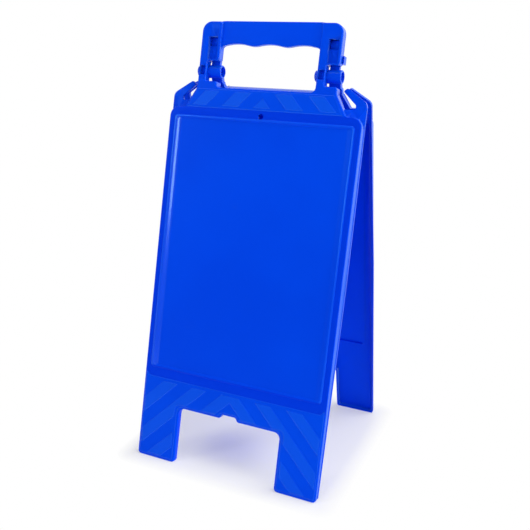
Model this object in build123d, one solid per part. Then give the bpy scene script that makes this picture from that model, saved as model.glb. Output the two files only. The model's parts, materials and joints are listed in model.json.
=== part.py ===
from build123d import *
import os
from math import atan, cos, degrees, hypot, radians, sin, tan

# Folding floor sign stand: two moulded panels hinged under a carry handle.
# Sizes are in millimetres and degrees. The stand is open, with its feet on the floor at Z = 0.
# Everything is drawn in the front panel's own frame first: X across, Y into the panel from its
# outer face, Z up the panel from the front edge of its feet. Heights are measured up the panel.

# Stance
LEAN = 12.9              # how far each outer face leans back from upright
AXIS_HEIGHT = 584.0      # feet to hinge axis
AXIS_DEPTH = 14.5        # outer face to hinge axis
FOLD_GAP = 0.6           # room between the two rims when the stand is shut

# Panel outline
FACE_WIDTH = 293.0
LEG_WIDTH = 64.5
LEG_LENGTH = 85.5        # feet to the underside of the lower rail
CROTCH_RADIUS = 9.0
FOOT_RADIUS = 6.0
NOTCH_WIDTH = 21.0       # finger notch in the lower rail, across its roof
NOTCH_DEPTH = 6.0
NOTCH_FLARE = 4.0        # how much wider each side of the notch is at its mouth
NOTCH_RADIUS = 3.2
SHOULDER_DROP = 53.0     # hinge axis down to the shoulders
SHOULDER_WIDTH = 40.7    # from the neck out to the side of the panel
SHOULDER_RADIUS = 14.5
SLOPE_WIDTH = 16.7       # how far the neck slope spreads at its foot
SLOPE_RISE = 28.8
SLOPE_RADIUS = 7.0
NECK_RADIUS = 8.0        # where the slope turns up into the neck
NECK_DROP = 15.5         # hinge axis down to the top of the neck
HEADER_DROP = 23.8       # hinge axis down to the sill of the hand opening

# Shell
FOOT_DEPTH = 8.5         # rim depth at the feet; the shell grows deeper towards the hinge
WALL = 3.0
FACE_WALL = 3.0
SOLE_WALL = 5.0
EDGE_ROUND = 2.5         # rounding of the edges of the outer face
SIDE_FLARE = 2.8         # how far the sides stand out at the rim, where they lean most
FLARE_HEIGHT = 300.0     # where that is, up the panel
RIM_LIP = 0.8            # part of it that the lip along the rim takes
LIP_DEPTH = 2.5          # of the lip, measured from the rim
REAR_TRIM = 0.25         # rear panel narrower on each side, so that it tucks behind the front one
REAR_NECK_THICKNESS = 6.5   # plate left at the rim where the rear panel's necks rise

# Label field and the hole above it
LABEL_MARGIN = 14.0      # from the sides and the shoulders to the label field
LABEL_RISE = 55.5        # from the underside of the lower rail
LABEL_RADIUS = 3.0
LABEL_RECESS = 1.0
HOLE_DIAMETER = 8.0
HOLE_RISE = 6.0          # label field to the centre of the hole

# Chain hooks, on a plate that lies back at the rim; insets are from the side of the panel,
# rises are from the shoulder
HOOK_THICKNESS = 4.5
HOOK_PROUD = 1.0         # how far the hook's side stands past the side of the face
HOOK_SIDE_RISE = 19.5
HOOK_SIDE_RADIUS = 10.0
HOOK_TIP_INSET = 28.5
HOOK_TIP_RISE = 38.6
HOOK_TIP_RADIUS = 4.0
HOOK_NOSE_INSET = 34.0
HOOK_NOSE_RISE = 33.8
HOOK_NOSE_RADIUS = 2.0
SLOT_INSET = 14.4
SLOT_RISE = 10.3         # floor of the chain slot
SLOT_HEIGHT = 6.0        # of its blind end
REAR_SLOT_EASE = 2.5     # how much further the rear panel's slots cut into their hooks
SLOT_RADIUS = 2.6

# Carry handle
UPRIGHT_WIDTH = 30.8
HANDLE_RISE = 68.2       # hinge axis to the top of the handle
HANDLE_DEPTH = 13.0
HANDLE_RADIUS = 14.0
UPRIGHT_TOP_RADIUS = 3.2
OPENING_RADIUS = 7.0
GRIP_SETBACK = 4.3       # grip behind the face of the uprights
GRIP_HEIGHT = 33.4       # below the top of the uprights, at the ridges between the fingers
GRIP_CROWN = 1.5         # how far its top stands above the uprights
CROWN_RADIUS = 40.0
GRIP_ROUND = 2.0
FINGERS = 3
FINGER_RISE = 5.2        # height of the two flanks of a finger rest where they would meet
FINGER_SHARE = 0.6       # share of each flank that the finger's curve takes
RIDGE_SHARE = 0.25       # share of each flank that a ridge's curve takes

# Hinges: a strip of the front panel on the left of each, a barrel of the rear panel on the right
STRIP_WIDTH = 12.0
BARREL_DIAMETER = 18.5
BARREL_ROUND = 1.5       # rounding of the barrel's open end
BARREL_PROUD = 1.5       # how far that end stands past the upright above it
HINGE_SIDE_GAP = 0.4
CUTOUT_RADIUS = 3.0
CUTOUT_RISE = 13.5       # hinge axis to the underside of the handle upright
WEB_THICKNESS = 8.0      # between barrel and rear neck
WEB_INSET = 3.5          # from the barrel's open end
WINDOW_WIDTH = 8.6       # window in the strip that shows its knuckle
WINDOW_HEIGHT = 13.0

# Hinge pins
PIN_DIAMETER = 8.0
PIN_CLEARANCE = 0.05     # radial, in strip and barrel
PIN_HEAD_DIAMETER = 15.0
PIN_HEAD_HEIGHT = 7.4
PIN_HEAD_RIM = 5.0
PIN_SEAT_GAP = 0.3       # under the head and behind the barb
BARB_PROUD = 0.8         # radial step that keeps the pin in
BARB_LENGTH = 4.2
BARB_SPLIT = 1.6
BARB_SPLIT_LENGTH = 9.0
SOCKET_DIAMETER = 14.0   # open end of the barrel, round the barb
SOCKET_DEPTH = 7.5

# Latch pockets in the handle uprights
POCKET_RIM = 4.2
POCKET_DEPTH = 6.0
POCKET_LIP = 2.0         # ledge left under the pocket
POCKET_HEIGHT = 31.5
LATCH_HEIGHT = 12.5      # window right through, at the top of the pocket

# Locking arms of the rear panel, behind the uprights
STOP_GAP = 0.3           # between arm and upright when open
ARM_THICKNESS = 6.0
ARM_INSET = 1.0          # from the barrel's end next to the strip
ARM_OVERLAP = 4.0        # how far the arm reaches past the latch window
CATCH_GAP = 0.8          # round the catch in the latch window
CATCH_REACH = 4.5
LUG_RISE = 3.0           # underside of the upright to the lug
LUG_HEIGHT = 10.5
LUG_WIDTH = 1.8
LUG_SIDE_GAP = 0.4
LUG_REACH = 3.0          # how far the lug comes forward beside the upright

# Worked out from the sizes above
half_face = FACE_WIDTH / 2
half_rear = half_face - REAR_TRIM
half_handle = half_face - SHOULDER_WIDTH
half_opening = half_handle - UPRIGHT_WIDTH
barrel_reach = UPRIGHT_WIDTH + BARREL_PROUD   # left edge of an upright to the barrel's open end
leg_inside = half_face - LEG_WIDTH
shoulder = AXIS_HEIGHT - SHOULDER_DROP
neck_top = AXIS_HEIGHT - NECK_DROP
header_top = AXIS_HEIGHT - HEADER_DROP
upright_bottom = AXIS_HEIGHT + CUTOUT_RISE
handle_top = AXIS_HEIGHT + HANDLE_RISE
pocket_bottom = upright_bottom + POCKET_LIP
pocket_top = pocket_bottom + POCKET_HEIGHT
hinge_rim = AXIS_DEPTH - FOLD_GAP / 2
rim_angle = degrees(atan((hinge_rim - FOOT_DEPTH) / AXIS_HEIGHT))
fold_angle = 2 * (LEAN + rim_angle)
axis_above_floor = AXIS_HEIGHT * cos(radians(LEAN)) - AXIS_DEPTH * sin(radians(LEAN))
hinge_lefts = [-half_handle, half_opening]   # left edge of each handle upright
FAR = 2 * handle_top                         # longer than anything in the stand
ARC_SHARE = 0.98                             # of a side that the arcs at its two ends may take


def rounded_face(corners):
    """A flat face in the XZ plane from corners (x, z, radius), with an arc at each corner.
    Where two arcs would need more than the side between them, both give way in proportion."""
    count = len(corners)
    points = [Vector(x, z) for x, z, radius in corners]
    ahead = [(points[(i + 1) % count] - points[i]).normalized() for i in range(count)]
    sides = [(points[(i + 1) % count] - points[i]).length for i in range(count)]
    halves = [radians(ahead[i].get_angle(ahead[i - 1] * -1)) / 2 for i in range(count)]
    wanted = [corners[i][2] / tan(halves[i]) for i in range(count)]
    shares = [min(1, ARC_SHARE * sides[i] / max(wanted[i] + wanted[(i + 1) % count], sides[i] * ARC_SHARE))
              for i in range(count)]
    edges = []
    joins = []
    for i in range(count):
        length = wanted[i] * min(shares[i], shares[i - 1])
        start = points[i] - ahead[i - 1] * length
        end = points[i] + ahead[i] * length
        if length > 0:
            inward = (ahead[i] - ahead[i - 1]).normalized()
            radius = length * tan(halves[i])
            edges.append(ThreePointArc(start, points[i] + inward * (radius / sin(halves[i]) - radius), end))
        joins.append((start, end))
    for i in range(count):
        edges.append(Line(joins[i - 1][1], joins[i][0]))
    return Plane.XZ * make_face(edges)


def mirrored(corners):
    """The right half's corners followed by their mirror images, as one closed outline."""
    return corners + [(-x, z, radius) for x, z, radius in reversed(corners)]


def slab(face, front, back):
    """A face carried into the panel, from depth front to depth back."""
    return Pos(0, front, 0) * extrude(face, amount=back - front, dir=(0, 1, 0))


def block(x0, x1, y0, y1, z0, z1):
    """A box between two opposite corners."""
    return Pos((x0 + x1) / 2, (y0 + y1) / 2, (z0 + z1) / 2) * Box(x1 - x0, y1 - y0, z1 - z0)


def rod(diameter, x0, x1):
    """A round bar along the hinge axis."""
    return Pos((x0 + x1) / 2, AXIS_DEPTH, AXIS_HEIGHT) * Rot(0, 90, 0) * Cylinder(diameter / 2, x1 - x0)


def lower_outline(half, inset=0.0, sole=0.0):
    """Right half of the outline of a panel half as wide as half, from the rail's notch to the neck,
    moved in by inset."""
    half_notch = NOTCH_WIDTH / 2 + inset
    rail = LEG_LENGTH + inset
    top = shoulder - inset
    spread = SLOPE_WIDTH / SLOPE_RISE
    slope_inset = inset * hypot(1, spread) - inset * spread
    return [
        (half_notch, rail + NOTCH_DEPTH, NOTCH_RADIUS),
        (half_notch + NOTCH_FLARE, rail, NOTCH_RADIUS),
        (leg_inside + inset, rail, CROTCH_RADIUS + inset),
        (leg_inside + inset, sole, FOOT_RADIUS),
        (half - inset, sole, FOOT_RADIUS),
        (half - inset, top, SHOULDER_RADIUS - inset),
        (half_handle + SLOPE_WIDTH - slope_inset, top, SLOPE_RADIUS + inset),
        (half_handle - slope_inset, top + SLOPE_RISE, NECK_RADIUS - inset),
    ]


def rim_side(setback=0.0):
    """All that lies deeper than the rim, or than a plane set forward of it by setback."""
    return Pos(0, FOOT_DEPTH - setback, 0) * Rot(-rim_angle, 0, 0) * block(-FAR, FAR, 0, FAR, -FAR, FAR)


def panel_blank(corners):
    """The outline as a thick plate with a rounded outer face, cut off at the rim."""
    plate = slab(rounded_face(corners), 0, AXIS_DEPTH)
    outer_edges = plate.faces().sort_by(Axis.Y)[0].edges()
    return fillet(outer_edges, EDGE_ROUND) - rim_side()


def side_wall(half):
    """Right-hand side of a panel, leaning out from the edge of its face to the lip along the rim."""
    sections = []
    for height, flare in (
        (FOOT_RADIUS, RIM_LIP),
        (FLARE_HEIGHT, SIDE_FLARE),
        (shoulder - SHOULDER_RADIUS, HOOK_PROUD),
    ):
        lip_start = FOOT_DEPTH + height * tan(radians(rim_angle)) - LIP_DEPTH
        corners = [
            (half - SHOULDER_RADIUS, EDGE_ROUND, height),
            (half, EDGE_ROUND, height),
            (half + flare - RIM_LIP, lip_start, height),
            (half + flare, lip_start, height),
            (half + flare, AXIS_DEPTH, height),
            (half - SHOULDER_RADIUS, AXIS_DEPTH, height),
        ]
        sections.append(make_face(Polyline(*corners, close=True)))
    return loft(sections, ruled=True) - rim_side()


def chain_hook(half, ease=0.0):
    """Right-hand chain hook of a panel: a plate at the rim, its slot moved out and up by ease."""
    root = half_handle - WALL
    slot_end = half - SLOT_INSET + ease
    slot_floor = shoulder + SLOT_RISE
    slot_roof = slot_floor + SLOT_HEIGHT + ease
    outline = rounded_face([
        (half + HOOK_PROUD, shoulder - SHOULDER_RADIUS, 0),
        (half + HOOK_PROUD, shoulder + HOOK_SIDE_RISE, HOOK_SIDE_RADIUS),
        (half - HOOK_TIP_INSET, shoulder + HOOK_TIP_RISE, HOOK_TIP_RADIUS),
        (half - HOOK_NOSE_INSET, shoulder + HOOK_NOSE_RISE, HOOK_NOSE_RADIUS),
        (slot_end, slot_roof, SLOT_RADIUS),
        (slot_end, slot_floor, SLOT_RADIUS),
        (root, slot_floor, 0),
        (root, shoulder - SHOULDER_RADIUS, 0),
    ])
    return (slab(outline, 0, AXIS_DEPTH) & rim_side(HOOK_THICKNESS)) - rim_side()


def panel_shell(blank, half, ease=0.0):
    """Sides, hooks, hollow back, label field, hole and level soles for a panel blank."""
    label = rounded_face(mirrored([
        (half_face - LABEL_MARGIN, LEG_LENGTH + LABEL_RISE, LABEL_RADIUS),
        (half_face - LABEL_MARGIN, shoulder - LABEL_MARGIN, LABEL_RADIUS),
    ]))
    cavity = slab(rounded_face(mirrored(lower_outline(half, WALL, SOLE_WALL))), FACE_WALL, AXIS_DEPTH)
    cavity -= block(-FAR, FAR, 0, AXIS_DEPTH, header_top - WALL, FAR)
    right = side_wall(half) + chain_hook(half, ease)
    shell = blank + right + mirror(right, Plane.YZ) - cavity
    shell += slab(label, FACE_WALL, FACE_WALL + LABEL_RECESS)
    shell -= slab(label, 0, LABEL_RECESS)
    hole = Pos(0, 0, shoulder - LABEL_MARGIN + HOLE_RISE) * Rot(90, 0, 0)
    shell -= hole * Cylinder(HOLE_DIAMETER / 2, 2 * AXIS_DEPTH)
    return shell - Rot(LEAN, 0, 0) * block(-FAR, FAR, -FAR, FAR, -FAR, 0)


def grip():
    """The bar between the handle uprights, with a wave of finger rests along its underside."""
    pitch = 2 * half_opening / FINGERS
    flank = hypot(pitch / 2, FINGER_RISE)
    curve = flank * (pitch / 2) / FINGER_RISE
    ridge = handle_top - GRIP_HEIGHT
    foot = ridge - 2 * OPENING_RADIUS
    buried = half_opening + UPRIGHT_WIDTH / 2
    wave = [(half_opening, ridge, OPENING_RADIUS)]
    for i in range(FINGERS):
        wave.append((half_opening - (i + 0.5) * pitch, ridge + FINGER_RISE, FINGER_SHARE * curve))
        wave.append((half_opening - (i + 1) * pitch, ridge, RIDGE_SHARE * curve))
    wave[-1] = (-half_opening, ridge, OPENING_RADIUS)
    crown = handle_top + GRIP_CROWN
    ends = [(-half_opening, foot, 0), (-buried, foot, 0), (-buried, handle_top - GRIP_CROWN, 0),
            (-half_opening, crown, CROWN_RADIUS)]
    outline = wave + ends + [(-x, z, radius) for x, z, radius in reversed(ends)]
    bar = slab(rounded_face(outline), GRIP_SETBACK, HANDLE_DEPTH)
    long_edges = [
        edge
        for face in (bar.faces().sort_by(Axis.Y)[0], bar.faces().sort_by(Axis.Y)[-1])
        for edge in face.edges()
        if abs(edge.center().X) < half_opening + UPRIGHT_WIDTH / 8
    ]
    return fillet(long_edges, GRIP_ROUND)


def front_panel():
    """Front moulding: panel, legs, hooks, handle and the strips that hold the pins."""
    left_strip = -half_handle + STRIP_WIDTH
    right_strip = half_opening + STRIP_WIDTH
    right_half = lower_outline(half_face)
    right_side = right_half + [
        (half_handle, neck_top, CUTOUT_RADIUS),
        (right_strip, neck_top, CUTOUT_RADIUS),
        (right_strip, upright_bottom, CUTOUT_RADIUS),
        (half_handle, upright_bottom, CUTOUT_RADIUS),
        (half_handle, handle_top, HANDLE_RADIUS),
        (half_opening, handle_top, UPRIGHT_TOP_RADIUS),
        (half_opening, header_top, OPENING_RADIUS),
    ]
    left_side = [
        (-half_opening, header_top, OPENING_RADIUS),
        (-half_opening, neck_top, CUTOUT_RADIUS),
        (left_strip, neck_top, CUTOUT_RADIUS),
        (left_strip, upright_bottom, CUTOUT_RADIUS),
        (-half_opening, upright_bottom, CUTOUT_RADIUS),
        (-half_opening, handle_top, UPRIGHT_TOP_RADIUS),
        (-half_handle, handle_top, HANDLE_RADIUS),
    ]
    blank = panel_blank(right_side + left_side + mirrored(right_half)[len(right_half):])
    blank -= block(-FAR, FAR, HANDLE_DEPTH, FAR, neck_top, FAR)
    panel = panel_shell(blank, half_face) + grip()
    for left in hinge_lefts:
        window_left = left + (STRIP_WIDTH - WINDOW_WIDTH) / 2
        panel -= block(window_left, window_left + WINDOW_WIDTH, 0, AXIS_DEPTH,
                       AXIS_HEIGHT - WINDOW_HEIGHT / 2, AXIS_HEIGHT + WINDOW_HEIGHT / 2)
        panel += rod(BARREL_DIAMETER, left, left + STRIP_WIDTH)
        panel -= rod(PIN_DIAMETER + 2 * PIN_CLEARANCE, left, left + STRIP_WIDTH)
        pocket = (left + STRIP_WIDTH, left + UPRIGHT_WIDTH - POCKET_RIM)
        panel -= block(*pocket, 0, POCKET_DEPTH, pocket_bottom, pocket_top)
        panel -= block(*pocket, 0, HANDLE_DEPTH, pocket_top - LATCH_HEIGHT, pocket_top)
    return panel


def locking_arm(left):
    """Arm of one hinge, with its catch in the latch window and its lug beside the upright."""
    front = HANDLE_DEPTH + STOP_GAP
    back = front + ARM_THICKNESS
    x0 = left + STRIP_WIDTH + HINGE_SIDE_GAP + ARM_INSET
    x1 = left + UPRIGHT_WIDTH - POCKET_RIM
    head_top = pocket_top + ARM_OVERLAP
    lug_bottom = upright_bottom + LUG_RISE
    lug_top = lug_bottom + LUG_HEIGHT
    arm = block(x0, x1, front, back, AXIS_HEIGHT, head_top)
    arm += block(left + POCKET_RIM, x1, front, back, lug_bottom, head_top)
    arm += block(left + STRIP_WIDTH + CATCH_GAP, x1 - CATCH_GAP, HANDLE_DEPTH - CATCH_REACH, back,
                 pocket_top - LATCH_HEIGHT + CATCH_GAP, pocket_top - CATCH_GAP)
    side = 1 if left > 0 else -1
    lug_in = side * (half_handle + LUG_SIDE_GAP)
    lug_out = lug_in + side * LUG_WIDTH
    wing = sorted((side * half_handle - side * UPRIGHT_WIDTH / 2, lug_out))
    arm += block(*wing, front, back, lug_bottom, lug_top)
    return arm + block(*sorted((lug_in, lug_out)), HANDLE_DEPTH - LUG_REACH, back, lug_bottom, lug_top)


def rear_panel():
    """Rear moulding, standing open behind the front one: panel, legs, hooks, barrels and arms."""
    blank = panel_blank(mirrored(lower_outline(half_rear) + [
        (half_handle, neck_top, CUTOUT_RADIUS),
        (half_opening, neck_top, CUTOUT_RADIUS),
        (half_opening, header_top, OPENING_RADIUS),
    ]))
    panel = panel_shell(blank, half_rear, REAR_SLOT_EASE)
    neck = blank & block(half_opening - WALL, FAR, 0, AXIS_DEPTH, shoulder - WALL, FAR)
    cut = block(half_opening, FAR, -FAR, AXIS_DEPTH, shoulder, FAR)
    cut += block(0, half_opening, -FAR, AXIS_DEPTH, header_top, FAR)
    cut -= rim_side(REAR_NECK_THICKNESS)
    panel += neck + mirror(neck, Plane.YZ)
    panel -= cut + mirror(cut, Plane.YZ)
    for left in hinge_lefts:
        barrel = (left + STRIP_WIDTH + HINGE_SIDE_GAP, left + barrel_reach)
        panel += block(WEB_INSET - barrel[1], -barrel[0], hinge_rim - WEB_THICKNESS, hinge_rim,
                       header_top, AXIS_HEIGHT)
    about_axis = Pos(0, AXIS_DEPTH, AXIS_HEIGHT)
    panel = about_axis * Rot(2 * LEAN, 0, 0) * Rot(0, 0, 180) * Pos(0, -AXIS_DEPTH, -AXIS_HEIGHT) * panel
    for left in hinge_lefts:
        barrel = (left + STRIP_WIDTH + HINGE_SIDE_GAP, left + barrel_reach)
        knuckle = rod(BARREL_DIAMETER, *barrel)
        panel += fillet(knuckle.edges().sort_by(Axis.X)[-1:], BARREL_ROUND) + locking_arm(left)
        panel -= rod(PIN_DIAMETER + 2 * PIN_CLEARANCE, *barrel)
        panel -= rod(SOCKET_DIAMETER, barrel[1] - SOCKET_DEPTH, barrel[1])
    return panel


def hinge_pin(left):
    """Pin of one hinge: domed head on the left, shank, and a split barb in the barrel's end."""
    seat = left - PIN_SEAT_GAP
    step = left + barrel_reach - SOCKET_DEPTH + PIN_SEAT_GAP
    tip = step + BARB_LENGTH
    dome_height = PIN_HEAD_HEIGHT - PIN_HEAD_RIM
    dome_radius = ((PIN_HEAD_DIAMETER / 2) ** 2 + dome_height ** 2) / (2 * dome_height)
    dome = Pos(seat - PIN_HEAD_HEIGHT + dome_radius, AXIS_DEPTH, AXIS_HEIGHT) * Sphere(dome_radius)
    pin = dome & rod(PIN_HEAD_DIAMETER, seat - PIN_HEAD_HEIGHT, seat)
    pin += rod(PIN_DIAMETER, seat - PIN_HEAD_RIM, step)
    barb = Cone(PIN_DIAMETER / 2 + BARB_PROUD, PIN_DIAMETER / 2 - BARB_PROUD, BARB_LENGTH)
    pin += Pos((step + tip) / 2, AXIS_DEPTH, AXIS_HEIGHT) * Rot(0, 90, 0) * barb
    return pin - block(tip - BARB_SPLIT_LENGTH, tip, AXIS_DEPTH - PIN_DIAMETER, AXIS_DEPTH + PIN_DIAMETER,
                       AXIS_HEIGHT - BARB_SPLIT / 2, AXIS_HEIGHT + BARB_SPLIT / 2)


nodes = {
    "front_panel": front_panel(),
    "rear_panel": rear_panel(),
    "hinge_pin_left": hinge_pin(hinge_lefts[0]),
    "hinge_pin_right": hinge_pin(hinge_lefts[1]),
}
standing = Pos(0, 0, axis_above_floor) * Rot(-LEAN, 0, 0) * Pos(0, -AXIS_DEPTH, -AXIS_HEIGHT)
os.makedirs("parts", exist_ok=True)
for name, shape in nodes.items():
    placed = standing * shape
    export_step(placed, f"parts/{name}.step")
    box = placed.bounding_box()
    print(f"{name}: {len(placed.solids())} solid, {placed.volume / 1000:.1f} cm3,"
          f" X {box.min.X:.2f} {box.max.X:.2f}, Y {box.min.Y:.2f} {box.max.Y:.2f},"
          f" Z {box.min.Z:.2f} {box.max.Z:.2f}")
print(f"hinge axis {axis_above_floor:.3f} above the floor, folds through {fold_angle:.3f} degrees")
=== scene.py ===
# %% [markdown]
# A folding floor sign stand: two moulded plastic panels that lean on each other under a carry handle.
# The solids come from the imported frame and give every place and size. This lesson dresses them: it gives
# the mouldings a smooth skin, adds the raised detail of their faces, mixes the plastic, and sets a plain
# white table with soft light. Lengths are in metres and the feet stand on Z = 0.

# %% Load the frame
import json
import math

import bmesh
import bpy
import numpy as np
from mathutils import Matrix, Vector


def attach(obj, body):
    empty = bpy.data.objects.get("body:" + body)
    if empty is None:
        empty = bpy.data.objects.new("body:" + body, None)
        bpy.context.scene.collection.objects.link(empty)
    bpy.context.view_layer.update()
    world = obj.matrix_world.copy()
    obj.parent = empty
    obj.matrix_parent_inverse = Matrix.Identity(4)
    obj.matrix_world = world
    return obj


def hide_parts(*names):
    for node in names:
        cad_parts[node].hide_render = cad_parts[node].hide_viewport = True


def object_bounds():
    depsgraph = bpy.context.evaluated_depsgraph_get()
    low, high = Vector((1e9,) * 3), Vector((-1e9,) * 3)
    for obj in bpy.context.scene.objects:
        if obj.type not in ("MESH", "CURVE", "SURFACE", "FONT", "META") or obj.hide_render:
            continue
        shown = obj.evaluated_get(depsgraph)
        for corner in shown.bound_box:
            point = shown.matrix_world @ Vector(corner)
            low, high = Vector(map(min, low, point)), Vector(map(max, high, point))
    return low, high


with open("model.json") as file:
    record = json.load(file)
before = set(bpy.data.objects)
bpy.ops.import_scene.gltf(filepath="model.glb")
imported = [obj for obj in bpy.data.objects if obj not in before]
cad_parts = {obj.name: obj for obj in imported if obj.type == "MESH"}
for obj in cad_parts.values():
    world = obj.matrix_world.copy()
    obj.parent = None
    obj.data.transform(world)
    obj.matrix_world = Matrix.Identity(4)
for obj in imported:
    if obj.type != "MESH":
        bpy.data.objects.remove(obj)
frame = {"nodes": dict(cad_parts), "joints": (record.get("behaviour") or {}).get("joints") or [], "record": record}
cad_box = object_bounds()
MM = 0.001
print("nodes", sorted(frame["nodes"]), "box", [tuple(round(v, 4) for v in corner) for corner in cad_box])

# %% [markdown]
# Everything on a panel is drawn on its sloping outer face. The record already knows that face: the label
# field's mount gives its outward normal, and the hinge gives the line that both panels share. So a place
# on a panel is said in three numbers: u across, v up the slope from the feet, and how proud it stands of
# the face. The rear panel is the front one turned half round, so one function serves both.

# %% A place on a panel
mounts = {mount["name"]: mount for mount in frame["record"]["mounts"]}
outward = np.array(mounts["front_label_field"]["axis"])
upward = np.array([0.0, outward[2], -outward[1]])
hinge = np.array(frame["joints"][0]["pos_m"])
HINGE_HEIGHT = 584.0 * MM
HINGE_DEPTH = 14.5 * MM
foot_line = hinge - HINGE_HEIGHT * upward + HINGE_DEPTH * outward
HALF_TURN = np.array([-1.0, -1.0, 1.0])


def on_panel(u, v, proud, panel="front"):
    """Foot line plus u along X, plus v up the slope, plus proud along the outward normal. For the rear
    panel, X and Y change sign. The three arguments are arrays of one shape."""
    u, v, proud = np.broadcast_arrays(u, v, proud)
    place = foot_line + v[..., None] * upward + proud[..., None] * outward
    place[..., 0] += u
    return place if panel == "front" else place * HALF_TURN


print("foot line", foot_line.round(4), "lean", round(math.degrees(math.asin(outward[2])), 2))

# %% [markdown]
# The camera stands in front of the stand and to its right, about as high as the handle, and looks down.
# Its place and lens were worked out from where the corners of the panels, whose sizes are known, lie in
# the picture. A Track To constraint could aim it at a point, but it can't lean, and this camera leans by
# about one degree. So pitch, yaw and roll give its axes, which are written into its matrix.

# %% Camera
PICTURE_SIZE = 530
FOCAL_PIXELS = 717.417
CAMERA_PLACE = np.array([422.73, -947.10, 620.22]) * MM
PITCH, YAW, ROLL = np.radians([17.893, -24.132, 1.102])


def into_scene(name, data):
    """A new object that holds the data, linked to the scene at the origin."""
    thing = bpy.data.objects.new(name, data)
    bpy.context.scene.collection.objects.link(thing)
    return thing


def stand_at(thing, place, right, up):
    """Puts a camera or lamp at a place. Its X axis is right, its Y axis is up, and its Z axis, which
    points back from what it looks at, is right cross up."""
    pose = np.eye(4)
    pose[:3] = np.column_stack([right, up, np.cross(right, up), place])
    thing.matrix_world = Matrix(pose.tolist())


def camera_axes(pitch, yaw, roll):
    """Forward is (sin yaw cos pitch, cos yaw cos pitch, -sin pitch), level is the flat direction at its
    right, and overhead is level cross forward. The roll turns level and overhead into right and up."""
    flat = math.cos(pitch)
    forward = np.array([math.sin(yaw) * flat, math.cos(yaw) * flat, -math.sin(pitch)])
    level = np.array([math.cos(yaw), -math.sin(yaw), 0.0])
    overhead = np.cross(level, forward)
    right = math.cos(roll) * level + math.sin(roll) * overhead
    return right, math.cos(roll) * overhead - math.sin(roll) * level


camera_data = bpy.data.cameras.new("camera")
camera_data.sensor_width = 36.0
camera_data.lens = FOCAL_PIXELS / PICTURE_SIZE * camera_data.sensor_width
camera = into_scene("camera", camera_data)
stand_at(camera, CAMERA_PLACE, *camera_axes(PITCH, YAW, ROLL))
bpy.context.scene.camera = camera
print("lens", round(camera_data.lens, 2), "mm, looking down", round(math.degrees(PITCH), 1), "degrees")

# %% [markdown]
# A moulding's skin is one smooth sheet that turns sharply only at its edges. The frame's solids arrive as
# loose triangles, which would shade as flat facets, so each one is copied, its corners are joined, and
# the edges that turn by more than a set angle are marked sharp. A weighted normal keeps the large faces
# flat beside their small rounded edges.

# %% Smooth skins
SHARP_ANGLE = math.radians(38)
JOIN_DISTANCE = 0.002 * MM


def smooth_skin(node, name):
    """A copy of a solid's mesh with its corners joined and smooth shading between sharp edges."""
    mesh = frame["nodes"][node].data.copy()
    mesh.name = name
    work = bmesh.new()
    work.from_mesh(mesh)
    bmesh.ops.remove_doubles(work, verts=work.verts, dist=JOIN_DISTANCE)
    work.to_mesh(mesh)
    work.free()
    mesh.materials.clear()
    mesh.shade_smooth()
    mesh.set_sharp_from_angle(angle=SHARP_ANGLE)
    skin = into_scene(name, mesh)
    weighted = skin.modifiers.new("flat faces", "WEIGHTED_NORMAL")
    weighted.keep_sharp = True
    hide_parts(node)
    return skin


bodies = frame["record"]["behaviour"]["bodies"]
skins = {}
for body, members in bodies.items():
    for node in members:
        skins[node] = smooth_skin(node, node + "_skin")
        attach(skins[node], body)
print({name: len(skin.data.polygons) for name, skin in skins.items()})

# %% [markdown]
# Raised detail on the faces is thin: stripes, borders and plates less than a millimetre high. Each is an
# outline on the panel, lifted, with a small bevel round its top so that its edge catches the light. A
# Bevel modifier could make that edge, but every top edge would have to be marked for it. Here each side
# of the outline moves inwards by the same distance, and a short parabola between two points on its sides
# rounds each corner.

# %% Outlines
CORNER_STEPS = 5
MOST_OF_A_SIDE = 0.49


def rounded_outline(corners, radius, steps=CORNER_STEPS):
    """At each corner C, points (1-t)^2 A + 2t(1-t) C + t^2 B for t from 0 to 1, where A and B lie on the
    two sides at the radius from C, or at less than half a short side. One radius, or one per corner."""
    corners = np.asarray(corners, float)
    radius = np.broadcast_to(radius, len(corners))[:, None]
    ends = []
    for turn in (1, -1):
        side = np.roll(corners, turn, axis=0) - corners
        share = radius / np.linalg.norm(side, axis=1, keepdims=True)
        ends.append(corners + side * np.minimum(share, MOST_OF_A_SIDE))
    first, last = ends[0][:, None], ends[1][:, None]
    t = np.linspace(0, 1, steps)[None, :, None]
    curve = (1 - t) ** 2 * first + 2 * t * (1 - t) * corners[:, None] + t ** 2 * last
    return curve.reshape(-1, 2)


def inward_miters(corners):
    """At each corner, the step that moves both of its sides inwards by one: the sum of the two side
    normals over one plus their dot product. Outlines run anticlockwise."""
    side = np.roll(corners, -1, axis=0) - corners
    normal = np.column_stack([-side[:, 1], side[:, 0]]) / np.linalg.norm(side, axis=1, keepdims=True)
    previous = np.roll(normal, 1, axis=0)
    return (normal + previous) / (1 + np.sum(normal * previous, axis=1, keepdims=True))


def anticlockwise(corners, radius):
    """Corners and their radii, both turned round if the outline's shoelace area is negative."""
    corners = np.asarray(corners, float)
    radius = np.broadcast_to(radius, len(corners))
    x, y = corners.T
    area = np.sum(x * np.roll(y, -1) - y * np.roll(x, -1))
    return (corners, radius) if area > 0 else (corners[::-1], radius[::-1])


square = np.array([(0.0, 0.0), (1.0, 0.0), (1.0, 1.0), (0.0, 1.0)])
print("a square's miters", inward_miters(square).tolist())

# %% [markdown]
# An outline turns into a surface when it is repeated at several heights and the copies are joined by
# rings of quads. A raised shape needs three: one at its base, one above a short riser, and one at full
# height, moved in by the bevel. An extruded curve could have this form, but it would be bevelled at its
# foot as well.

# %% Raised shapes
RISER_SHARE = 0.15


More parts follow.
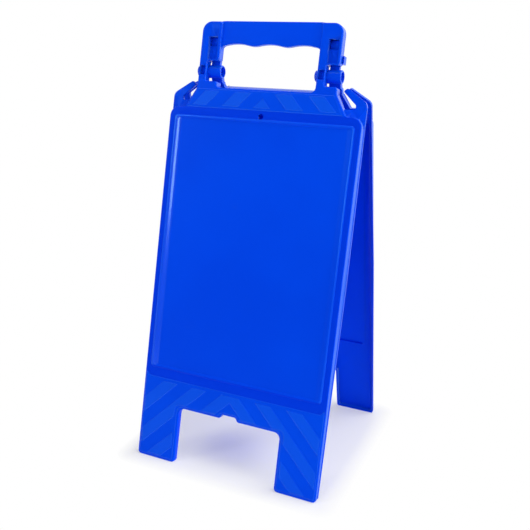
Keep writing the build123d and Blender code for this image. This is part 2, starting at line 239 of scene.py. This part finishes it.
def stacked_loops(loops, proud):
    """Loops of equal length at given heights. A quad joins point k of a loop, point k + 1 and the two
    points above them. Returns (u, v, proud) points and a list of faces."""
    loops = np.asarray(loops)
    levels, count = loops.shape[:2]
    heights = np.broadcast_to(np.reshape(proud, (-1, 1)), (levels, count))
    here = np.arange(levels - 1)[:, None] * count + np.arange(count)
    ahead = np.roll(here, -1, axis=1)
    quads = np.dstack([here, ahead, ahead + count, here + count]).reshape(-1, 4)
    return np.dstack([loops, heights]).reshape(-1, 3), list(quads)


def raised_shape(corners, base, height, bevel, radius):
    """Three loops of one outline: at the base, a short riser above it, and moved in by the bevel at full
    height, where one face, the last, closes the top."""
    corners, radius = anticlockwise(corners, radius)
    outline = rounded_outline(corners, radius)
    top = rounded_outline(corners + bevel * inward_miters(corners), radius)
    proud = base + height * np.array([0.0, RISER_SHARE, 1.0])
    points, faces = stacked_loops([outline, outline, top], proud)
    return points, faces + [np.arange(2 * len(outline), 3 * len(outline))]


print("a raised square has", len(raised_shape(square, 0.0, 1.0, 0.1, 0.1)[1]), "faces")

# %% [markdown]
# A piece is one mesh on one panel. It is put together from its shapes as whole arrays: their points are
# placed on the panel and set one after another, and each shape's faces count on from where the last
# shape's points end. A piece can have a second finish on some of its faces, which saves a second piece.

# %% Pieces of a panel
def second_finish(mesh, material, chosen):
    """Adds a second material to a mesh, for the faces at which chosen is true."""
    mesh.materials.append(material)
    mesh.polygons.foreach_set("material_index", np.asarray(chosen).astype(int))


def panel_piece(name, shapes, panel, material, bevel_material=None, smooth=False):
    """One mesh from several (points, faces) shapes on a panel's face; it rides on that panel's body. A
    bevel material is for all faces but the last of each shape."""
    starts = np.cumsum([0] + [len(points) for points, shape_faces in shapes])
    places = np.concatenate([on_panel(*points.T, panel) for points, shape_faces in shapes])
    faces = [(face + start).tolist()
             for start, (points, shape_faces) in zip(starts, shapes) for face in shape_faces]
    mesh = bpy.data.meshes.new(name)
    mesh.from_pydata(places, [], faces)
    mesh.materials.append(material)
    mesh.polygons.foreach_set("use_smooth", [smooth] * len(faces))
    if bevel_material:
        bevelled = np.ones(len(faces), bool)
        bevelled[np.cumsum([len(shape_faces) for points, shape_faces in shapes]) - 1] = False
        second_finish(mesh, bevel_material, bevelled)
    piece = into_scene(name, mesh)
    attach(piece, panel)
    print(name, "shapes", len(shapes), "faces", len(faces))
    return piece


# %% [markdown]
# A procedural material is a small network of nodes. These helpers make the few kinds that the plastic,
# the table and the sky need. Each takes numbers or the outputs of other nodes, and gives back an output,
# so that a network reads like a formula.

# %% Node helpers
def feed(tree, value, socket):
    """Links another node's output into a socket, or sets the socket to a number or numbers."""
    if isinstance(value, bpy.types.NodeSocket):
        tree.links.new(value, socket)
    else:
        socket.default_value = value


def math_node(tree, operation, first, second=None):
    """One operation on one or two numbers."""
    node = tree.nodes.new("ShaderNodeMath")
    node.operation = operation
    for socket, value in zip(node.inputs, (first, second)):
        if value is not None:
            feed(tree, value, socket)
    return node.outputs[0]


def vector_node(tree, operation, first, second=None, output="Vector"):
    """One operation on one or two vectors. Lengths, distances and dot products come out as Value."""
    node = tree.nodes.new("ShaderNodeVectorMath")
    node.operation = operation
    for socket, value in zip(node.inputs, (first, second)):
        if value is not None:
            feed(tree, value, socket)
    return node.outputs[output]


def span(tree, value, low, high, to_low=0.0, to_high=1.0, smooth=True):
    """Maps a value's stretch from low to high on to another stretch, held at its ends."""
    node = tree.nodes.new("ShaderNodeMapRange")
    node.interpolation_type = "SMOOTHSTEP" if smooth else "LINEAR"
    tree.links.new(value, node.inputs["Value"])
    for name, number in (("From Min", low), ("From Max", high), ("To Min", to_low), ("To Max", to_high)):
        node.inputs[name].default_value = number
    return node.outputs["Result"]


def noise(tree, vector, scale, detail, roughness=0.55):
    """Soft random values round a half. A higher scale makes a finer pattern."""
    node = tree.nodes.new("ShaderNodeTexNoise")
    for name, value in (("Vector", vector), ("Scale", scale), ("Detail", detail), ("Roughness", roughness)):
        feed(tree, value, node.inputs[name])
    return node.outputs["Fac"]


def mixed_colour(tree, first, second, factor):
    """First times (1 - factor) plus second times factor. First is a colour or an output."""
    node = tree.nodes.new("ShaderNodeMix")
    node.data_type = "RGBA"
    feed(tree, first if isinstance(first, bpy.types.NodeSocket) else (*first, 1.0), node.inputs["A"])
    node.inputs["B"].default_value = (*second, 1.0)
    tree.links.new(factor, node.inputs["Factor"])
    return node.outputs["Result"]


def object_place(tree):
    """The shaded point's place along the axes of its own object."""
    return tree.nodes.new("ShaderNodeTexCoord").outputs["Object"]


print("helpers ready for Blender", bpy.app.version_string)

# %% [markdown]
# The plastic is a royal blue that is coloured right through, so nothing is painted. What makes it look
# real is small: a fine grain from the mould, a slow drift of tone where the melt flowed, and dull rubbed
# places. Grain and rubbing are used on every piece, so each is a node group, built once and placed in
# each material with its own values.

# %% Node groups
GRAIN_FINENESS = 1400.0
FLOW_SCALE, FLOW_SHARE = 22.0, 0.6
PATCH_SCALE, PATCH_RANGE = 9.0, (0.54, 0.74)
STREAK_TURN, STREAK_STRETCH = (0.3, 0.5, 0.9), (14.0, 160.0, 30.0)
STREAK_SCALE, STREAK_RANGE = 1.6, (0.56, 0.72)
DRIFT_SCALE = 5.5


def new_group(name, inputs, outputs):
    """An empty shader node group with inputs {name: default} and named outputs, all of them numbers."""
    group = bpy.data.node_groups.new(name, "ShaderNodeTree")
    for socket, default in inputs.items():
        made = group.interface.new_socket(socket, in_out="INPUT", socket_type="NodeSocketFloat")
        made.default_value = default
    for socket in outputs:
        group.interface.new_socket(socket, in_out="OUTPUT", socket_type="NodeSocketFloat")
    return group, group.nodes.new("NodeGroupInput").outputs, group.nodes.new("NodeGroupOutput").inputs


def placed_group(tree, group, **values):
    """A node group placed in a tree with its own values. Returns its outputs."""
    node = tree.nodes.new("ShaderNodeGroup")
    node.node_tree = group
    for name, value in values.items():
        node.inputs[name].default_value = value
    return node.outputs


grain_group, grain_in, grain_out = new_group("mould_grain", {"Fineness": GRAIN_FINENESS}, ["Height"])
grain_place = object_place(grain_group)
flow = noise(grain_group, grain_place, FLOW_SCALE, detail=2.0)
flow = math_node(grain_group, "MULTIPLY", flow, FLOW_SHARE)
fine = noise(grain_group, grain_place, grain_in["Fineness"], detail=3.0)
grain_group.links.new(math_node(grain_group, "ADD", fine, flow), grain_out["Height"])

rub_group, rub_in, rub_out = new_group("rubbed_places", {"Amount": 1.0}, ["Mask", "Drift"])
rub_place = object_place(rub_group)
patch_noise = noise(rub_group, rub_place, PATCH_SCALE, detail=5.0, roughness=0.62)
patches = span(rub_group, patch_noise, *PATCH_RANGE)
streak_map = rub_group.nodes.new("ShaderNodeMapping")
streak_map.inputs["Rotation"].default_value = STREAK_TURN
streak_map.inputs["Scale"].default_value = STREAK_STRETCH
rub_group.links.new(rub_place, streak_map.inputs["Vector"])
streak_noise = noise(rub_group, streak_map.outputs["Vector"], STREAK_SCALE, detail=4.0, roughness=0.7)
rubbed = math_node(rub_group, "MULTIPLY", patches, span(rub_group, streak_noise, *STREAK_RANGE))
rub_group.links.new(math_node(rub_group, "MULTIPLY", rubbed, rub_in["Amount"]), rub_out["Mask"])
rub_group.links.new(noise(rub_group, rub_place, DRIFT_SCALE, detail=2.0), rub_out["Drift"])
print("groups", [group.name for group in bpy.data.node_groups])

# %% [markdown]
# Round the label field, a smooth band reaches to the edges of the panel. It is painted a deeper blue,
# painted shade for the darker look that the band has in the light. It has no edge of its own to model, so
# a mask finds it: a node group turns a point of either panel into its place on the face, across, up and
# proud, and the band is what lies between two rectangles there.

# %% Smooth band and its painted shade
LABEL_HALF_WIDTH = 135.0 * MM
LABEL_BOTTOM, LABEL_TOP = 142.5 * MM, 516.6 * MM
BAND_HALF_WIDTH = 145.0 * MM
BAND_BOTTOM, BAND_TOP = 126.5 * MM, 530.5 * MM
BAND_BLUR = 0.5 * MM

place_group, _, place_out = new_group("panel_place", {}, ["Across", "Up", "Proud"])
folded = vector_node(place_group, "ABSOLUTE", object_place(place_group))
for name, along in (("Across", (1.0, 0.0, 0.0)), ("Up", upward), ("Proud", outward)):
    along = np.asarray(along) * (1.0, -1.0, 1.0)
    start = 0.0 if name == "Across" else float(along @ np.abs(foot_line))
    reached = vector_node(place_group, "DOT_PRODUCT", folded, along, "Value")
    place_group.links.new(math_node(place_group, "SUBTRACT", reached, start), place_out[name])


def outside_box(tree, place, half_width, low, high):
    """How far a place on the face lies outside a box: the larger of across less the half width, and the
    distance from the box's middle height less its half height."""
    aside = math_node(tree, "SUBTRACT", place["Across"], half_width)
    from_middle = math_node(tree, "ABSOLUTE", math_node(tree, "SUBTRACT", place["Up"], (low + high) / 2))
    above = math_node(tree, "SUBTRACT", from_middle, (high - low) / 2)
    return math_node(tree, "MAXIMUM", aside, above)


def band_painted_shade_mask(tree):
    """One on the outer face between the label border and the band's outside, where the painted band
    shade goes, and nought elsewhere.
    """
    place = placed_group(tree, place_group)
    past_label = outside_box(tree, place, LABEL_HALF_WIDTH, LABEL_BOTTOM, LABEL_TOP)
    past_band = outside_box(tree, place, BAND_HALF_WIDTH, BAND_BOTTOM, BAND_TOP)
    between = math_node(tree, "MULTIPLY", span(tree, past_label, 0.0, BAND_BLUR),
                        span(tree, past_band, 0.0, BAND_BLUR, 1.0, 0.0))
    return math_node(tree, "MULTIPLY", between, span(tree, place["Proud"], -2 * BAND_BLUR, -BAND_BLUR))


print("panel_place sockets", [socket.name for socket in place_group.interface.items_tree])

# %% [markdown]
# One recipe mixes every blue of the stand. The base colour drifts a little between a deeper and a lighter
# blue and pales where it is rubbed, and the roughness follows the rubbing. A piece's own values say how
# deep its blue is and how glossy it came out of the mould. The gloss is tinted, because in a blue
# moulding the light that comes back from just under the skin is blue as well.

# %% Plastic
FACE_GLOSS = (0.1, 0.8, 1.0)
DRIFT_RANGE = (0.35, 0.65)
RUB_AMOUNT = 0.5
RUBBED_BLUE, RUBBED_SHARE, RUBBED_DULLNESS = (0.05, 0.13, 0.85), 0.5, 0.2
GRAIN_DEPTH = 0.05 * MM


def plastic(name, deep, light, roughness, specular=0.25, gloss=FACE_GLOSS, fineness=GRAIN_FINENESS,
            bump=0.05, band=None):
    """Principled plastic: colour drifts from deep to light, rubbed places pale and turn dull. A band colour
    is for the panels: painted shade, a deeper blue on their smooth band."""
    material = bpy.data.materials.new(name)
    material.use_nodes = True
    tree = material.node_tree
    shader = tree.nodes["Principled BSDF"].inputs
    shader["Specular IOR Level"].default_value = specular
    shader["Specular Tint"].default_value = (*gloss, 1.0)
    rubbing = placed_group(tree, rub_group, Amount=RUB_AMOUNT)
    colour = mixed_colour(tree, deep, light, span(tree, rubbing["Drift"], *DRIFT_RANGE))
    paleness = math_node(tree, "MULTIPLY", rubbing["Mask"], RUBBED_SHARE)
    colour = mixed_colour(tree, colour, RUBBED_BLUE, paleness)
    # Painted shade: the smooth band gets the deeper band colour.
    if band:
        colour = mixed_colour(tree, colour, band, band_painted_shade_mask(tree))
    tree.links.new(colour, shader["Base Color"])
    dullness = span(tree, rubbing["Mask"], 0.0, 1.0, roughness, roughness + RUBBED_DULLNESS)
    tree.links.new(dullness, shader["Roughness"])
    relief = tree.nodes.new("ShaderNodeBump")
    relief.inputs["Strength"].default_value = bump
    relief.inputs["Distance"].default_value = GRAIN_DEPTH
    tree.links.new(placed_group(tree, grain_group, Fineness=fineness)["Height"], relief.inputs["Height"])
    tree.links.new(relief.outputs["Normal"], shader["Normal"])
    print(name, "nodes", len(tree.nodes))
    return material


# %% [markdown]
# The same melt looks different from place to place, as the steel of the mould was finished differently.
# The wide faces are satin and the rims and edges glossy, and the rims and edges also get a paler, greener
# blue, a painted highlight tint for how lit edges look. The label border is polished, most of all on its
# left side. The plates are dull, and the stripes have a fine, strong grain that makes them look paler. So
# each kind of surface has its own material, and the recipe stays the same.

# %% Blues of the stand
# The band colour of panel_blue is painted shade on the smooth band.
panel_blue = plastic("panel_blue", (0.0, 0.058, 0.88), (0.0, 0.066, 0.93), roughness=0.32,
                     specular=0.12, band=(0.0, 0.042, 0.84))
# Real gloss plus a paler, greener blue than the faces: painted highlight tint for lit sides and edges.
edge_blue = plastic("edge_blue", (0.0, 0.080, 0.82), (0.0, 0.088, 0.87), roughness=0.24,
                    specular=0.75, gloss=(0.6, 1.0, 1.0))
border_blue = plastic("border_blue", (0.0, 0.068, 0.94), (0.0, 0.076, 0.98), roughness=0.24,
                      specular=0.5, gloss=(0.22, 1.0, 1.0))
polished_blue = plastic("polished_blue", (0.0, 0.064, 0.90), (0.0, 0.072, 0.95), roughness=0.16,
                        specular=0.75, gloss=(0.5, 0.85, 1.0), bump=0.02)
bevel_blue = plastic("bevel_blue", (0.0, 0.062, 0.86), (0.0, 0.070, 0.91), roughness=0.25,
                     specular=0.7, gloss=(0.25, 1.0, 1.0))
plate_blue = plastic("plate_blue", (0.0, 0.064, 0.88), (0.0, 0.072, 0.93), roughness=0.4, specular=0.1)
stripe_blue = plastic("stripe_blue", (0.0, 0.077, 0.88), (0.0, 0.085, 0.93), roughness=0.36,
                      gloss=(0.2, 0.85, 1.0), fineness=2600.0, bump=0.12)
pin_blue = plastic("pin_blue", (0.0, 0.050, 0.80), (0.0, 0.058, 0.86), roughness=0.26,
                   specular=0.5, gloss=(0.6, 1.0, 1.0))

# %% [markdown]
# A panel's skin needs two of these blues: satin on its faces, and glossy on its sides and rounded edges,
# where a paler, greener blue is a painted highlight tint. The walls of the gap between the legs stand in
# shade, so they are left satin like the faces, without the gloss and without the painted tint. Painting
# the faces by hand would be lost at the next build, so the choice is worked out from each face's normal
# and place.

# %% Finish of the skins
FACE_TURN = 0.7
LEG_GAP_HALF_WIDTH = 84.0 * MM
LEG_GAP_TOP = 84.0 * MM


def face_values(mesh, kind):
    """One row of three numbers for each face: its normal or its center."""
    values = np.zeros(len(mesh.polygons) * 3)
    mesh.polygons.foreach_get(kind, values)
    return values.reshape(-1, 3)


for node, skin in skins.items():
    skin.data.materials.append(pin_blue if "pin" in node else panel_blue)
for panel in bodies:
    mesh = skins[panel + "_panel"].data
    facing = np.abs(face_values(mesh, "normal") @ (outward if panel == "front" else outward * HALF_TURN))
    across, _, height = face_values(mesh, "center").T
    in_leg_gap = (np.abs(across) < LEG_GAP_HALF_WIDTH) & (height < LEG_GAP_TOP)
    # Sides and edges get the gloss and its painted highlight tint; the shaded leg-gap walls get neither.
    glossy_lit_tinted = (facing < FACE_TURN) & ~in_leg_gap
    second_finish(mesh, edge_blue, glossy_lit_tinted)
    print(panel, "sides and rounded edges", int(np.sum(glossy_lit_tinted)), "faces")

# %% [markdown]
# A raised border runs round the label field, so that a stick-on sheet finds its place. Outside it is a
# small round bead, glossy except along the bottom. Inside it runs down to the sunken field in a soft
# curve, wide at the sides and narrow above and below, and on the left it is polished and holds a long
# line of light. A bevelled curve could make the bead, but the two sides differ in shape and in finish, so
# two profiles are carried along the rounded border, and they meet on its ridge.

# %% Label border
LABEL_RADIUS, LABEL_CORNER_STEPS = 4.0 * MM, 8
LABEL_RECESS = 1.0 * MM
BEAD_WIDTH = 2.6 * MM
BEAD_HEIGHT = 0.8 * MM
BORDER_SLOPE, SIDE_SLOPE = 2.6 * MM, 9.0 * MM
BEAD_STEPS, SLOPE_STEPS = 8, 9


def bead_profile():
    """A quarter ellipse: bead width times cos a outwards and bead height times sin a up. Returns steps
    inwards from the ridge and heights."""
    a = np.linspace(0, math.pi / 2, BEAD_STEPS)
    return -BEAD_WIDTH * np.cos(a), BEAD_HEIGHT * np.sin(a)


def slope_profile():
    """A smooth step 3x^2 - 2x^3 down from the ridge to the field, as steps inwards and heights."""
    x = np.linspace(0, 1, SLOPE_STEPS)
    return BORDER_SLOPE * x, BEAD_HEIGHT - (BEAD_HEIGHT + LABEL_RECESS) * (3 * x ** 2 - 2 * x ** 3)


def label_border(inward, proud, widen=1.0):
    """One loop for each step of a profile: the ridge's corners moved in by the step, which counts widen
    times across, with a corner radius that shrinks by the step. Returns the shape and the u and v of the
    middle of each face."""
    wide, low, high = LABEL_HALF_WIDTH, LABEL_BOTTOM, LABEL_TOP
    ridge = np.array([(-wide, low), (wide, low), (wide, high), (-wide, high)])
    miters = inward_miters(ridge) * (widen, 1.0)
    loops = [rounded_outline(ridge + step * miters, LABEL_RADIUS - step, LABEL_CORNER_STEPS)
             for step in inward]
    points, faces = stacked_loops(loops, proud)
    return (points, faces), points[np.array(faces)].mean(axis=1)[:, :2].T


for panel in bodies:
    shape, middles = label_border(*bead_profile())
    bead = panel_piece(panel + "_label_bead", [shape], panel, border_blue, smooth=True)
    second_finish(bead.data, panel_blue, middles[1] < LABEL_BOTTOM)
    shape, middles = label_border(*slope_profile(), SIDE_SLOPE / BORDER_SLOPE)
    slope = panel_piece(panel + "_label_slope", [shape], panel, panel_blue, smooth=True)
    second_finish(slope.data, polished_blue, middles[0] < SIDE_SLOPE - LABEL_HALF_WIDTH)

# %% [markdown]
# Above and below the label field, the face is built up by half a millimetre: a plate across the header,
# and one over the lower rail and the legs. Their step is what draws the thin lines beside the field. Each
# is an outline lifted off the face, so its corners are all that has to be said.

# %% Plates
PLATE_HEIGHT = 0.5 * MM
PLATE_BEVEL = 0.7 * MM
HEADER_PLATE = np.array([(-118.5, 531.2), (118.5, 531.2), (104.4, 557.4), (-104.4, 557.4)]) * MM
HEADER_PLATE_RADIUS = 1.5 * MM
HALF_LOWER_PLATE = np.array([
    (12.3, 94.8), (15.8, 88.8), (85.3, 88.8), (85.3, 4.0), (143.8, 4.0), (143.8, 132.0),
    (137.5, 126.0)]) * MM
HALF_LOWER_RADII = np.array([1.5, 1.5, 14.0, 3.0, 3.0, 1.0, 2.0]) * MM

lower_plate = np.concatenate([HALF_LOWER_PLATE, HALF_LOWER_PLATE[::-1] * (-1, 1)])
lower_radii = np.concatenate([HALF_LOWER_RADII, HALF_LOWER_RADII[::-1]])
plates = [raised_shape(HEADER_PLATE, 0.0, PLATE_HEIGHT, PLATE_BEVEL, HEADER_PLATE_RADIUS),
          raised_shape(lower_plate, 0.0, PLATE_HEIGHT, PLATE_BEVEL, lower_radii)]
for panel in bodies:
    panel_piece(panel + "_face_plates", plates, panel, plate_blue, bevel_blue)

# %% [markdown]
# Hazard stripes stand on the plates, less than half a millimetre high. They could be a texture, but their
# edges catch the light, so they are shapes. They slope at about 45 degrees towards the middle, so an edge
# is a line on which the distance from the middle plus the height stays the same. That one sum places
# every stripe of the legs and the rail, in millimetres.

# %% Stripes of the legs and the rail
STRIPE_TOP = 121.5
RAIL_LOW = 90.5
LEG_IN, LEG_OUT, LEG_LOW = 88.5, 141.5, 6.0
CHEVRON, MIDDLE, OUTER = (111.5, 136.0), (160.5, 185.0), (209.5, 234.0)
STRIPE_ROUND, CROTCH_ROUND = 0.6, 11.0


def slant(total, height=None, side=None):
    """The point of a slanting edge, where side plus height is the total, at one of the two."""
    return (total - height, height) if side is None else (side, total - side)


def leg_stripes():
    """Corner lists and corner radii of the right-hand stripes of the rail and the leg."""
    outer = [slant(OUTER[0], STRIPE_TOP), slant(OUTER[1], STRIPE_TOP), slant(OUTER[1], side=LEG_OUT),
             slant(OUTER[0], side=LEG_OUT)]
    middle = [slant(MIDDLE[0], STRIPE_TOP), slant(MIDDLE[1], STRIPE_TOP), slant(MIDDLE[1], side=LEG_OUT),
              slant(MIDDLE[0], side=LEG_OUT), slant(MIDDLE[0], side=LEG_IN), (LEG_IN, RAIL_LOW),
              slant(MIDDLE[0], RAIL_LOW)]
    foot = [slant(CHEVRON[1], side=LEG_IN), slant(CHEVRON[1], LEG_LOW), slant(CHEVRON[0], LEG_LOW),
            slant(CHEVRON[0], side=LEG_IN)]
    middle_radii = [STRIPE_ROUND] * 5 + [CROTCH_ROUND, STRIPE_ROUND]
    return [(outer, STRIPE_ROUND), (middle, middle_radii), (foot, STRIPE_ROUND)]


chevron_half = [slant(CHEVRON[1], STRIPE_TOP), slant(CHEVRON[1], RAIL_LOW), slant(CHEVRON[0], RAIL_LOW)]
chevron = chevron_half + [(0, CHEVRON[0])] + [(-u, v) for u, v in reversed(chevron_half)]
print("stripes on a leg and half the rail", len(leg_stripes()))

# %% [markdown]
# The header carries the same pattern, smaller and a little steeper: two stripes on each side of a
# triangle. The right-hand stripes are worked out and mirrored, and all stripes of a panel become one
# piece, whose tops are grained and whose bevels are glossy.

# %% Stripes of the header
HEADER_LOW, HEADER_HIGH = 534.4, 555.0
HEADER_SLOPE = 0.94
HEADER_STRIPES = ((36.7, 62.3), (86.8, 110.0))
HEADER_TRIANGLE = 13.2
STRIPE_HEIGHT = 0.4 * MM
STRIPE_BEVEL = 0.6 * MM


def header_stripes():
    """Corner lists and radii of the right-hand header stripes: a base, and a top moved in by the slope."""
    low, high = HEADER_LOW, HEADER_HIGH
    shift = HEADER_SLOPE * (high - low)
    return [([(near, low), (far, low), (far - shift, high), (near - shift, high)], STRIPE_ROUND)
            for near, far in HEADER_STRIPES]


triangle = [(-HEADER_TRIANGLE, HEADER_LOW), (HEADER_TRIANGLE, HEADER_LOW),
            (0, HEADER_LOW + HEADER_TRIANGLE / HEADER_SLOPE)]
outlines = [(chevron, STRIPE_ROUND), (triangle, STRIPE_ROUND)]
for corners, radius in leg_stripes() + header_stripes():
    outlines += [(corners, radius), ([(-u, v) for u, v in corners], radius)]
stripes = [raised_shape(np.array(corners) * MM, PLATE_HEIGHT, STRIPE_HEIGHT, STRIPE_BEVEL,
                        np.array(radius) * MM) for corners, radius in outlines]
for panel in bodies:
    panel_piece(panel + "_stripes", stripes, panel, stripe_blue, bevel_blue)

# %% [markdown]
# Behind the lower edge of the label field, a thin rib stiffens each panel. It stands in the hollow back and
# ends below the rim, so that the two panels still shut. It is a raised outline like the plates, lowered to
# the inner face and turned inwards, so its faces run the other way round.

# %% Ribs
RIB_HALF_LENGTH = 128.5 * MM
RIB_LOW, RIB_HIGH = 141.5 * MM, 143.3 * MM
INNER_FACE = 2.8 * MM
RIB_HEIGHT = 4.2 * MM
RIB_BEVEL = RIB_ROUND = 0.3 * MM

rib_outline = [(-RIB_HALF_LENGTH, RIB_LOW), (RIB_HALF_LENGTH, RIB_LOW), (RIB_HALF_LENGTH, RIB_HIGH),
               (-RIB_HALF_LENGTH, RIB_HIGH)]
points, faces = raised_shape(rib_outline, INNER_FACE, RIB_HEIGHT, RIB_BEVEL, RIB_ROUND)
rib = points * (1.0, 1.0, -1.0), [face[::-1] for face in faces]
for panel in bodies:
    panel_piece(panel + "_rib", [rib], panel, panel_blue)

# %% [markdown]
# The floor is a plain white table, wide enough to fill every view. Close to the stand it shows the light
# that falls on it, with the stand's shadow and its blue bounce, but under the stand a share of white glow
# is painted light that lifts that shadow, except round one spot between the front legs, where the painted
# deepest shade is placed. Further out it fades to plain white, as in a studio where the table runs into
# the backdrop. More light could make it white too, but that would bleach the plastic, so the white is
# mixed in only for the camera and for mirrored rays.

# %% Floor
FLOOR_REACH, FLOOR_CELLS = 6.0, 12


def flat_grid(reach, cells):
    """Points (x, y, 0) from -reach to reach in even steps along both axes, and the quads between them."""
    line = np.linspace(-reach, reach, cells + 1)
    x, y = np.meshgrid(line, line)
    first = (np.arange(cells)[:, None] * (cells + 1) + np.arange(cells)).ravel()
    quads = np.column_stack([first, first + 1, first + cells + 2, first + cells + 1])
    return np.column_stack([x.ravel(), y.ravel(), np.zeros(x.size)]), quads.tolist()


floor_mesh = bpy.data.meshes.new("floor")
floor_points, floor_faces = flat_grid(FLOOR_REACH, FLOOR_CELLS)
floor_mesh.from_pydata(floor_points, [], floor_faces)
floor = into_scene("floor", floor_mesh)
print("floor", len(floor_faces), "faces,", 2 * FLOOR_REACH, "m wide")

# %% [markdown]
# How white a spot of the table turns depends on two distances: from a given spot of painted deepest
# shade, between the front legs, and from the rectangle that the stand covers. Each is a formula on the
# floor's own coordinates. Under the stand a share of white glow is painted light over the real shadow,
# and it falls to nothing near that spot.

# %% White of the table
TABLE_FINISH = {"Base Color": (0.93, 0.93, 0.94, 1.0), "Roughness": 0.6, "Specular IOR Level": 0.1}
PAINTED_SHADE_MIDDLE = (-0.02, -0.075, 0.0)
SHADE_NEAR, SHADE_FAR = 0.005, 0.09
PAINTED_GLOW_UNDER, WHITE_BEYOND = 0.38, 0.62
FADE_LENGTH = 0.03

white = bpy.data.materials.new("white_table")
white.use_nodes = True
tree = white.node_tree
table = tree.nodes["Principled BSDF"]
for name, value in TABLE_FINISH.items():
    table.inputs[name].default_value = value
glow = tree.nodes.new("ShaderNodeEmission")
spot = object_place(tree)
covered = (cad_box[1][0], cad_box[1][1], 0.0)
aside = vector_node(tree, "SUBTRACT", vector_node(tree, "ABSOLUTE", spot), covered)
aside = vector_node(tree, "MAXIMUM", aside, (0.0, 0.0, 0.0))
beyond = span(tree, vector_node(tree, "LENGTH", aside, output="Value"), 0.0, FADE_LENGTH,
              0.0, WHITE_BEYOND, smooth=False)
# Painted shade: less white glow near this spot, so the shadow shows deepest there; elsewhere under the stand the
# glow lifts it.
from_shade = vector_node(tree, "DISTANCE", spot, PAINTED_SHADE_MIDDLE, "Value")
under = span(tree, from_shade, SHADE_NEAR, SHADE_FAR, 0.0, PAINTED_GLOW_UNDER)
rays = tree.nodes.new("ShaderNodeLightPath").outputs
looked_at = math_node(tree, "MAXIMUM", rays["Is Camera Ray"], rays["Is Glossy Ray"])
blend = tree.nodes.new("ShaderNodeMixShader")
whiteness = math_node(tree, "ADD", under, beyond)
tree.links.new(math_node(tree, "MULTIPLY", whiteness, looked_at), blend.inputs[0])
tree.links.new(table.outputs[0], blend.inputs[1])
tree.links.new(glow.outputs[0], blend.inputs[2])
tree.links.new(blend.outputs[0], tree.nodes["Material Output"].inputs["Surface"])
floor_mesh.materials.append(white)
print("white_table nodes", len(tree.nodes), "covered", [round(v, 4) for v in covered])

# %% [markdown]
# The room is the sky of the scene. It lights the stand from a bright wall on the right and is dim
# elsewhere, which is why the faces stay deep blue. What glossy edges mirror is set apart from that: a
# white backdrop behind the stand and a pale ceiling at the upper left, so that edges turn pale where they
# face them. The camera itself sees plain white.

# %% Room
world = bpy.data.worlds.new("studio")
bpy.context.scene.world = world
world.use_nodes = True
sky = world.node_tree
background = sky.nodes["Background"]
direction = sky.nodes.new("ShaderNodeTexCoord").outputs["Generated"]


def sky_patch(middle, low, high, dim, bright):
    """Dim where a direction's dot product with the patch's middle is below low, bright where it is above
    high, and a smooth step between."""
    along = vector_node(sky, "DOT_PRODUCT", direction, middle, "Value")
    return span(sky, along, low, high, dim, bright)


right_wall = sky_patch((0.95, 0.3, 0.1), low=0.5, high=0.85, dim=0.32, bright=3.0)
backdrop = sky_patch((0.0, 1.0, 0.0), low=0.0, high=0.4, dim=0.2, bright=1.0)
ceiling = sky_patch((-0.35, 0.0, 0.94), low=0.8, high=0.97, dim=0.0, bright=0.9)
sky_rays = sky.nodes.new("ShaderNodeLightPath").outputs
mirrored = sky_rays["Is Glossy Ray"]
lit = math_node(sky, "MULTIPLY", right_wall, math_node(sky, "SUBTRACT", 1.0, mirrored))
in_mirror = math_node(sky, "MULTIPLY", math_node(sky, "MAXIMUM", backdrop, ceiling), mirrored)
strength = math_node(sky, "MAXIMUM", lit, in_mirror)
strength = math_node(sky, "MAXIMUM", strength, sky_rays["Is Camera Ray"])
background.inputs["Color"].default_value = (1.0, 1.0, 1.0, 1.0)
sky.links.new(strength, background.inputs["Strength"])
print("studio nodes", len(sky.nodes))

# %% [markdown]
# Three softboxes do the rest. A large one at the front left gives the faces their even light. A narrow
# one stands in front, where the polished left side of the label border mirrors it. A wide one overhead
# draws the soft shadow under the stand. Area lamps are used because their size is what makes a shadow
# soft.

# %% Softboxes
def softbox(name, place, target, width, height, power):
    """A rectangular lamp at a place. It looks at the target along -Z, its X axis is Z cross the way back
    from the target, and its Y axis is square to both."""
    data = bpy.data.lights.new(name, "AREA")
    data.shape = "RECTANGLE"
    data.size, data.size_y, data.energy = width, height, power
    back = np.subtract(place, target)
    back = back / np.linalg.norm(back)
    side = np.cross((0, 0, 1), back)
    side = side / np.linalg.norm(side)
    stand_at(into_scene(name, data), place, side, np.cross(back, side))
    print(name, "power", power)


softbox("left_softbox", (-2.0, -2.1, 1.5), target=(0, 0, 0.3), width=0.6, height=1.2, power=14.6)
softbox("middle_softbox", (-0.08, -2.4, 1.1), target=(0, 0, 0.4), width=0.26, height=0.7, power=4.6)
softbox("top_softbox", (0.3, -0.1, 2.2), target=(0, 0, 0.3), width=1.0, height=0.7, power=9)

# %% [markdown]
# The finish: colours are shown as they are.

# %% Finish
view = bpy.context.scene.view_settings
view.view_transform = "Standard"
